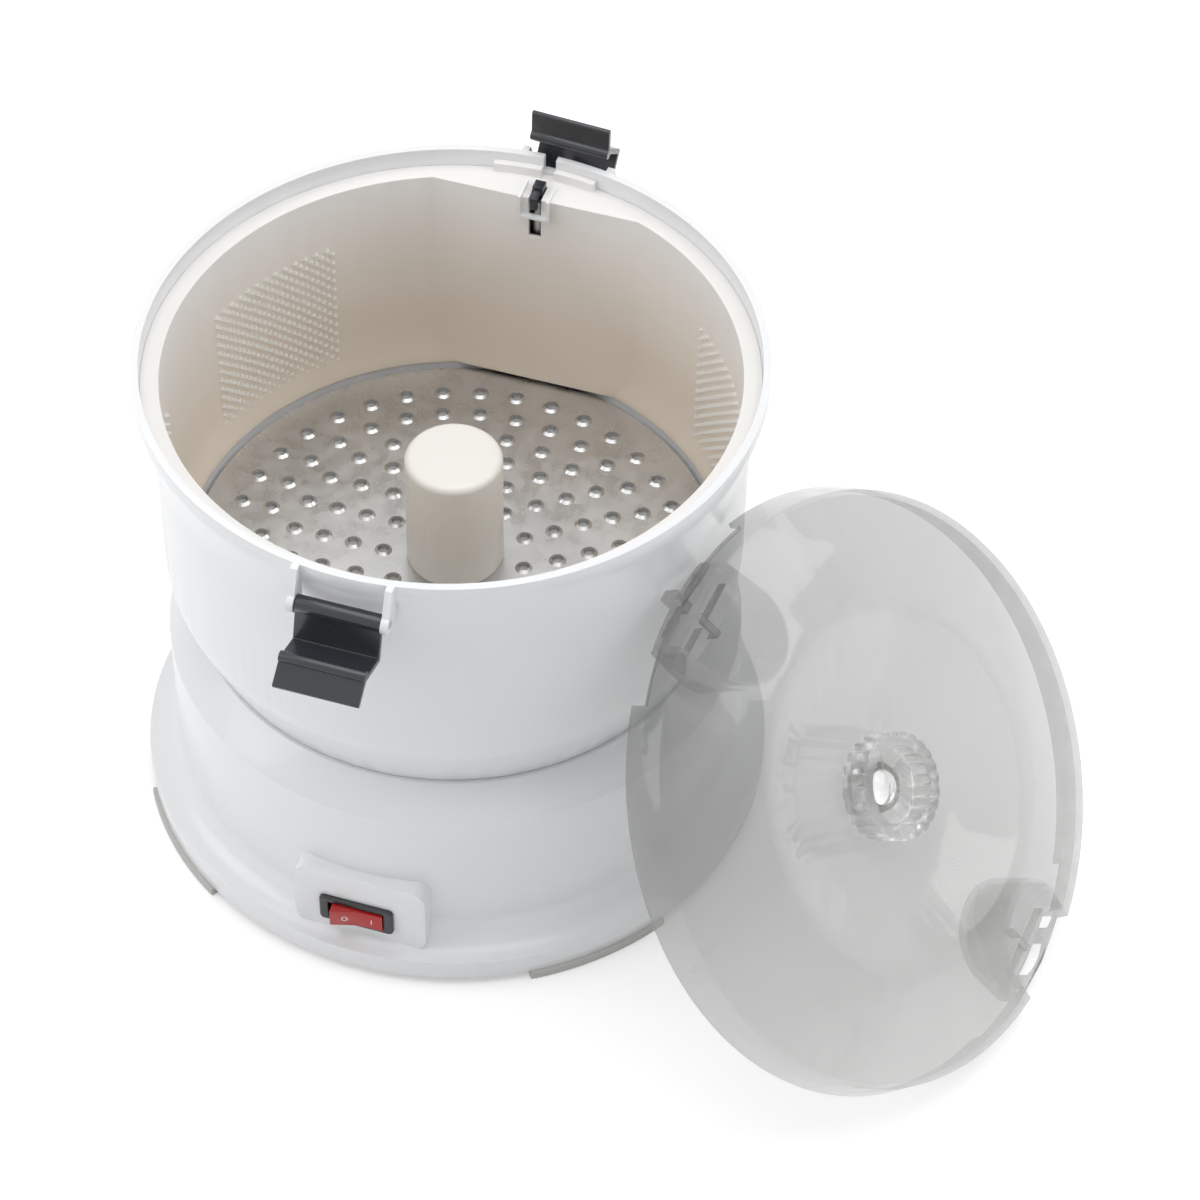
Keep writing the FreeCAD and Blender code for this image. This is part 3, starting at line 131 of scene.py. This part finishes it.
def addBump(material, scale, strength, distance, stretch=(1, 1, 1), detail=2.0):
    tree = material.node_tree
    place = addNode(material, "ShaderNodeTexCoord")
    mapping = addNode(material, "ShaderNodeMapping")
    mapping.inputs["Scale"].default_value = stretch
    noise = addNode(material, "ShaderNodeTexNoise", Scale=scale, Detail=detail)
    bump = addNode(material, "ShaderNodeBump", Strength=strength, Distance=distance)
    tree.links.new(place.outputs["Object"], mapping.inputs["Vector"])
    tree.links.new(mapping.outputs["Vector"], noise.inputs["Vector"])
    tree.links.new(noise.outputs["Fac"], bump.inputs["Height"])
    tree.links.new(bump.outputs["Normal"], tree.nodes["Principled BSDF"].inputs["Normal"])
    return material


def paintedLightByHeight(material, lowColor, highColor, low, high):
    # painted light and shade: one colour low on the piece, another high up, set by height in the object's coordinates
    tree = material.node_tree
    place = addNode(material, "ShaderNodeTexCoord")
    split = addNode(material, "ShaderNodeSeparateXYZ")
    span = addNode(material, "ShaderNodeMapRange")
    span.inputs["From Min"].default_value = low
    span.inputs["From Max"].default_value = high
    ramp = addNode(material, "ShaderNodeValToRGB")
    ramp.color_ramp.elements[0].color = (*lowColor, 1)
    ramp.color_ramp.elements[1].color = (*highColor, 1)
    tree.links.new(place.outputs["Object"], split.inputs["Vector"])
    tree.links.new(split.outputs["Z"], span.inputs["Value"])
    tree.links.new(span.outputs["Result"], ramp.inputs["Fac"])
    tree.links.new(ramp.outputs["Color"], tree.nodes["Principled BSDF"].inputs["Base Color"])
    return material


def plasticMaterial(name, color, roughness, drift=0.03, bump=0.05, **sockets):
    made = newMaterial(name, color, roughness, **sockets)
    mottle(made, 14.0, [c * (1 - drift) for c in color], color)
    varyRoughness(made, 60.0, roughness * 0.94, roughness * 1.06)
    return addBump(made, 900.0, bump, 0.0001) if bump else made


whitePlastic = plasticMaterial("whitePlastic", (0.80, 0.81, 0.825), 0.30, 0.008, 0.0,
                               Coat_Weight=0.25, Coat_Roughness=0.12)
# painted bounce light and shade: the liner turns warmer and darker towards the bottom of the drum and whiter near the
# rim
linerPlastic = paintedLightByHeight(plasticMaterial("linerPlastic", (0.76, 0.69, 0.60), 0.38, 0.02, 0.0),
                            (0.74, 0.655, 0.555), (0.81, 0.795, 0.775), 0.150, 0.2165)
hubPlastic = plasticMaterial("hubPlastic", (0.78, 0.76, 0.72), 0.34, 0.02, 0.03)
greyPlastic = plasticMaterial("greyPlastic", (0.42, 0.42, 0.41), 0.5)
padRubber = plasticMaterial("padRubber", (0.50, 0.50, 0.48), 0.62, 0.06, 0.3)
blackPlastic = plasticMaterial("blackPlastic", (0.022, 0.023, 0.026), 0.4, 0.2, 0.2)
latchPlastic = plasticMaterial("latchPlastic", (0.024, 0.027, 0.034), 0.28, 0.15, 0.06,
                               Coat_Weight=0.3, Coat_Roughness=0.1)
bezelPlastic = plasticMaterial("bezelPlastic", (0.035, 0.036, 0.040), 0.33, 0.2, 0.1)
sealRubber = plasticMaterial("sealRubber", (0.02, 0.02, 0.02), 0.7, 0.2, 0.3)
gearNylon = plasticMaterial("gearNylon", (0.72, 0.70, 0.62), 0.42)
rockerRed = plasticMaterial("rockerRed", (0.46, 0.006, 0.004), 0.24, 0.25, 0.0,
                            Coat_Weight=0.12, Coat_Roughness=0.08)
markWhite = plasticMaterial("markWhite", (0.85, 0.83, 0.80), 0.4)


def metalMaterial(name, color, roughness, stretch=(1, 1, 1), scale=160.0, bump=0.1):
    made = newMaterial(name, color, roughness, Metallic=1.0)
    mottle(made, scale * 0.2, [c * 0.9 for c in color], color, stretch)
    varyRoughness(made, scale, roughness * 0.75, roughness * 1.3, stretch)
    return addBump(made, scale * 3, bump, 0.0001, stretch)


discSteel = metalMaterial("discSteel", (0.60, 0.60, 0.60), 0.30)
screwSteel = metalMaterial("screwSteel", (0.55, 0.55, 0.56), 0.32)
canSteel = metalMaterial("canSteel", (0.45, 0.46, 0.47), 0.38, (1, 1, 0.1))
ironCore = metalMaterial("ironCore", (0.16, 0.16, 0.17), 0.55, (0.2, 0.2, 6))
bronze = metalMaterial("bronze", (0.62, 0.42, 0.20), 0.35)
brass = metalMaterial("brass", (0.72, 0.55, 0.25), 0.30)


def clearMaterial(name, color, alpha, clear, ior):
    made = newMaterial(name, color, 0.06, IOR=ior, Transmission_Weight=clear,
                       Alpha=alpha, Coat_Weight=0.6, Coat_Roughness=0.04)
    varyRoughness(made, 30.0, 0.05, 0.09)
    return addBump(made, 25.0, 0.02, 0.0002)


# painted reflection and shade: the lid's colour is lighter low down and darker towards the top
clearPlastic = paintedLightByHeight(clearMaterial("clearPlastic", (0.27, 0.275, 0.265), 0.42, 0.3, 1.4),
                            (0.46, 0.465, 0.45), (0.19, 0.195, 0.185), 0.03, 0.17)
knobClear = clearMaterial("knobClear", (0.86, 0.87, 0.86), 0.85, 1.0, 1.49)

finishOfSlot = {
    "white": whitePlastic,
    "liner_cream": linerPlastic,
    "cover_grey": greyPlastic,
    "pad_rubber": padRubber,
    "screw_steel": screwSteel,
    "motor_can": canSteel,
    "motor_iron": ironCore,
    "bearing_bronze": bronze,
    "seal_rubber": sealRubber,
    "black_plastic": blackPlastic,
    "terminal_brass": brass,
    "gear_nylon": gearNylon,
    "rocker_red": rockerRed,
    "button_black": latchPlastic,
    "latch_black": latchPlastic,
    "disc_steel": discSteel,
    "lid_clear": clearPlastic,
    "clip_white": hubPlastic,
}
finishOfNode = {
    "hub_cap": hubPlastic,
    "switch_housing": bezelPlastic,
    "lid_knob": knobClear,
}
slotOfNode = {part["node"]: part["material_slot"] for part in frame["record"]["subparts"]}
for name, node in nodes.items():
    finish = finishOfNode.get(name, finishOfSlot[slotOfNode[name]])
    if not node.data.materials:
        node.data.materials.append(finish)
    for i in range(len(node.data.materials)):
        node.material_slots[i].material = finish
print("materials assigned")


# shared ways of making a piece

def finishPiece(name, form, material, body, replaced=(), smooth=40.0):
    mesh = bpy.data.meshes.new(name)
    form.to_mesh(mesh)
    form.free()
    piece = bpy.data.objects.new(name, mesh)
    scene.collection.objects.link(piece)
    mesh.materials.append(material)
    mesh.shade_smooth()
    mesh.set_sharp_from_angle(angle=math.radians(smooth))
    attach(piece, body)
    if replaced:
        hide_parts(*replaced)
    return piece


def onRing(radius, azimuth, height):
    # azimuth counts from the front towards the lid's side
    a = math.radians(azimuth)
    return Vector((radius * math.sin(a), -radius * math.cos(a), height))


# pieces whose hard edges are rounded: new name, and width of the rounding in metres
softEdges = {
    "front_latch": ("frontLatchSoft", 0.0006),
    "rear_latch": ("rearLatchSoft", 0.0006),
    "rocker": ("rockerSoft", 0.0004),
    "switch_housing": ("bezelSoft", 0.0003),
    "lid_knob": ("lidKnobSoft", 0.0004),
    "hub_cap": ("hubCapSoft", 0.0005),
    "foot_pads": ("footPadsSoft", 0.0007),
    "interlock_rod": ("interlockRodSoft", 0.0003),
    "bowl_shell": ("bowlSoft", 0.0004),
    "inner_liner": ("linerSoft", 0.0004),
    "base_shell": ("baseSoft", 0.0005),
    "lid": ("lidSoft", 0.0004),
}
rounding = {
    "segments": 3,
    "sharpest": 38.0,        # degrees between faces, past which an edge is rounded
    "flat": 1.0,             # degrees, under which neighbouring faces are joined
    "merge": 0.00001,
}
bodyOfNode = {node: body for body, held in frame["record"]["behaviour"]["bodies"].items() for node in held}


def softenEdges(nodeName, pieceName, width, values):
    # a merged copy of the node's mesh, with a live bevel on its sharp edges
    form = bmesh.new()
    form.from_mesh(nodes[nodeName].data)
    bmesh.ops.remove_doubles(form, verts=form.verts, dist=values["merge"])
    bmesh.ops.dissolve_limit(form, angle_limit=math.radians(values["flat"]), verts=form.verts, edges=form.edges)
    finish = nodes[nodeName].material_slots[0].material
    piece = finishPiece(pieceName, form, finish, bodyOfNode[nodeName], (nodeName,))
    marked = piece.data.attributes.get("sharp_edge")     # the bevel shades the edges instead
    if marked:
        piece.data.attributes.remove(marked)
    bevel = piece.modifiers.new("softEdge", "BEVEL")
    bevel.width = width
    bevel.segments = values["segments"]
    bevel.limit_method = "ANGLE"
    bevel.angle_limit = math.radians(values["sharpest"])
    bevel.harden_normals = True


for nodeName, (pieceName, width) in softEdges.items():
    softenEdges(nodeName, pieceName, width, rounding)
print("edges rounded")


# disc: raised lips round its holes
craters = {
    "rings": 6,
    "firstRing": 0.029,
    "ringStep": 0.0125,
    "pitch": 0.0155,
    "hole": 0.0023,
    "foot": 0.0036,
    "rise": 0.0009,
    "face": 0.1160,
    "segments": 12,
}


def makeCraters(values):
    form = bmesh.new()
    for k in range(values["rings"]):
        radius = values["firstRing"] + values["ringStep"] * k
        count = int(2 * math.pi * radius / values["pitch"])
        for i in range(count):
            turn = 2 * math.pi * (i + 0.5 * (k % 2)) / count
            place = Vector((radius * math.cos(turn), radius * math.sin(turn), values["face"]))
            middle = Matrix.Translation(place + Vector((0, 0, values["rise"] * 0.5)))
            rim = bmesh.ops.create_cone(form, cap_ends=False, segments=values["segments"], radius1=values["foot"],
                                        radius2=values["hole"], depth=values["rise"], matrix=middle)
            top = [e for e in form.edges if e.is_boundary and e.verts[0] in rim["verts"]
                   and e.verts[0].co.z > place.z + values["rise"] * 0.6]
            wall = bmesh.ops.extrude_edge_only(form, edges=top)["geom"]
            low = [v for v in wall if isinstance(v, bmesh.types.BMVert)]
            bmesh.ops.translate(form, vec=(0, 0, -values["rise"]), verts=low)
    return finishPiece("discCraters", form, discSteel, "disc", smooth=50.0)


makeCraters(craters)
print("disc lips made")


# drum: small nubs in five fields on the liner
nubs = {
    "wall": 0.11175,
    "centres": (-120, -60, 0, 60, 120),
    "halfAngle": 17.0,
    "low": 0.128,
    "high": 0.193,
    "pitch": 0.0049,
    "size": 0.0016,
    "rise": 0.0015,
    "sunk": 0.0002,          # foot of a nub behind the wall's face
    "tip": 0.25,             # of its foot's size
}


def makeNubs(values):
    form = bmesh.new()
    step = values["pitch"] / values["wall"]
    rows = int((values["high"] - values["low"]) / (values["pitch"] * 0.5))
    half = math.radians(values["halfAngle"])
    for centre in values["centres"]:
        for row in range(rows):
            height = values["low"] + row * values["pitch"] * 0.5
            count = int(half / step)
            for k in range(-count, count + 1):
                angle = k * step + (step * 0.5 if row % 2 else 0.0)
                if abs(angle) > half:
                    continue
                azimuth = centre + math.degrees(angle)
                place = onRing(values["wall"] + values["sunk"], azimuth, height)
                inward = Vector((-place.x, -place.y, 0)).normalized()
                turn = inward.to_track_quat("Z", "Y").to_matrix().to_4x4()
                lift = Matrix.Translation(place + inward * values["rise"] * 0.5)
                bmesh.ops.create_cone(form, cap_ends=True, segments=4, radius1=values["size"],
                                      radius2=values["size"] * values["tip"], depth=values["rise"], matrix=lift @ turn)
    return finishPiece("linerNubs", form, hubPlastic, "drum", smooth=20.0)


makeNubs(nubs)
print("liner nubs made")


# rocker: the two marks on its face
marks = {
    "tilt": 9.0,
    "pivot": (-0.0013, -0.1194, 0.0279),
    "faceOut": 0.00545,
    "ringAt": -0.0048,
    "barAt": 0.0062,
    "ringRadius": 0.0013,
    "ringHole": 0.68,        # of its radius
    "barSize": (0.0004, 0.0026, 1),
    "valley": (1.3, 10.7),   # rise and run of each half of the face
}


def makeMarks(values):
    form = bmesh.new()
    pivot = Vector(values["pivot"])
    outward = Matrix.Rotation(math.radians(90), 4, "X")
    bmesh.ops.create_circle(form, segments=32, radius=values["ringRadius"], cap_ends=False)
    wide = bmesh.ops.extrude_edge_only(form, edges=list(form.edges))["geom"]
    inner = [v for v in wide if isinstance(v, bmesh.types.BMVert)]
    bmesh.ops.scale(form, vec=(values["ringHole"], values["ringHole"], 1), verts=inner)
    bmesh.ops.translate(form, vec=(values["ringAt"], 0, 0), verts=form.verts)
    ringVerts = list(form.verts)
    bar = bmesh.ops.create_grid(form, x_segments=1, y_segments=1, size=0.5)["verts"]
    bmesh.ops.scale(form, vec=values["barSize"], verts=bar)
    bmesh.ops.translate(form, vec=(values["barAt"], 0, 0), verts=bar)
    bmesh.ops.transform(form, matrix=outward, verts=form.verts)
    slope = math.atan2(*values["valley"])
    for verts, sign in ((ringVerts, 1), (bar, -1)):
        bmesh.ops.rotate(form, cent=(0, 0, 0), matrix=Matrix.Rotation(slope * sign, 3, "Z"), verts=verts)
    bmesh.ops.translate(form, vec=(0, -values["faceOut"], 0), verts=form.verts)
    tilt = Matrix.Rotation(math.radians(values["tilt"]), 3, "Z")
    bmesh.ops.rotate(form, cent=(0, 0, 0), matrix=tilt, verts=form.verts)
    bmesh.ops.translate(form, vec=pivot, verts=form.verts)
    return finishPiece("rockerMarks", form, markWhite, "rocker_key")


makeMarks(marks)
print("rocker marks made")


# floor, light and background
studio = {
    "floorColor": (0.86, 0.86, 0.86),
    "floorSize": 6.0,
    "world": 0.55,
    "floorGlow": 0.30,
    "lamps": (
        ("topLamp", (0.0, 0.1, 1.9), 1.6, 15.5),
        ("leftLamp", (-1.6, -0.7, 1.2), 1.2, 9.5),
        ("rightLamp", (1.5, 0.5, 1.4), 1.0, 8.0),
    ),
}


def brightenBackdrop(tree, socket, plain, seen):
    # the camera, gloss and clear pieces see a brighter backdrop than the object is lit by
    path = tree.nodes.new("ShaderNodeLightPath")
    first = tree.nodes.new("ShaderNodeMath")
    second = tree.nodes.new("ShaderNodeMath")
    span = tree.nodes.new("ShaderNodeMapRange")
    first.operation = "MAXIMUM"
    second.operation = "MAXIMUM"
    span.inputs["To Min"].default_value = plain
    span.inputs["To Max"].default_value = seen
    tree.links.new(path.outputs["Is Camera Ray"], first.inputs[0])
    tree.links.new(path.outputs["Is Glossy Ray"], first.inputs[1])
    tree.links.new(first.outputs[0], second.inputs[0])
    tree.links.new(path.outputs["Is Transmission Ray"], second.inputs[1])
    tree.links.new(second.outputs[0], span.inputs["Value"])
    tree.links.new(span.outputs["Result"], socket)


def makeFloor(values):
    form = bmesh.new()
    bmesh.ops.create_grid(form, x_segments=1, y_segments=1, size=values["floorSize"])
    mesh = bpy.data.meshes.new("floor")
    form.to_mesh(mesh)
    form.free()
    floor = bpy.data.objects.new("floor", mesh)
    scene.collection.objects.link(floor)
    made = newMaterial("floorPaper", values["floorColor"], 0.7)
    shader = made.node_tree.nodes["Principled BSDF"]
    mottle(made, 6.0, [c * 0.995 for c in values["floorColor"]], values["floorColor"])
    mesh.materials.append(made)
    brightenBackdrop(made.node_tree, shader.inputs["Emission Strength"], 0.0, values["floorGlow"])
    shader.inputs["Emission Color"].default_value = (1, 1, 1, 1)


def makeLamp(name, place, size, power):
    data = bpy.data.lights.new(name, "AREA")
    data.size = size
    data.energy = power
    lamp = bpy.data.objects.new(name, data)
    lamp.location = place
    lamp.rotation_euler = (Vector((0, 0, 0.1)) - Vector(place)).to_track_quat("-Z", "Y").to_euler()
    scene.collection.objects.link(lamp)


def makeWorld(values):
    world = bpy.data.worlds.new("studioWorld")
    world.use_nodes = True
    scene.world = world
    tree = world.node_tree
    soft = tree.nodes["Background"]
    soft.inputs["Color"].default_value = (1, 1, 1, 1)
    brightenBackdrop(tree, soft.inputs["Strength"], values["world"], 1.0)


makeFloor(studio)
for lampValues in studio["lamps"]:
    makeLamp(*lampValues)
makeWorld(studio)
scene.view_settings.view_transform = "Standard"
print("floor and light made")
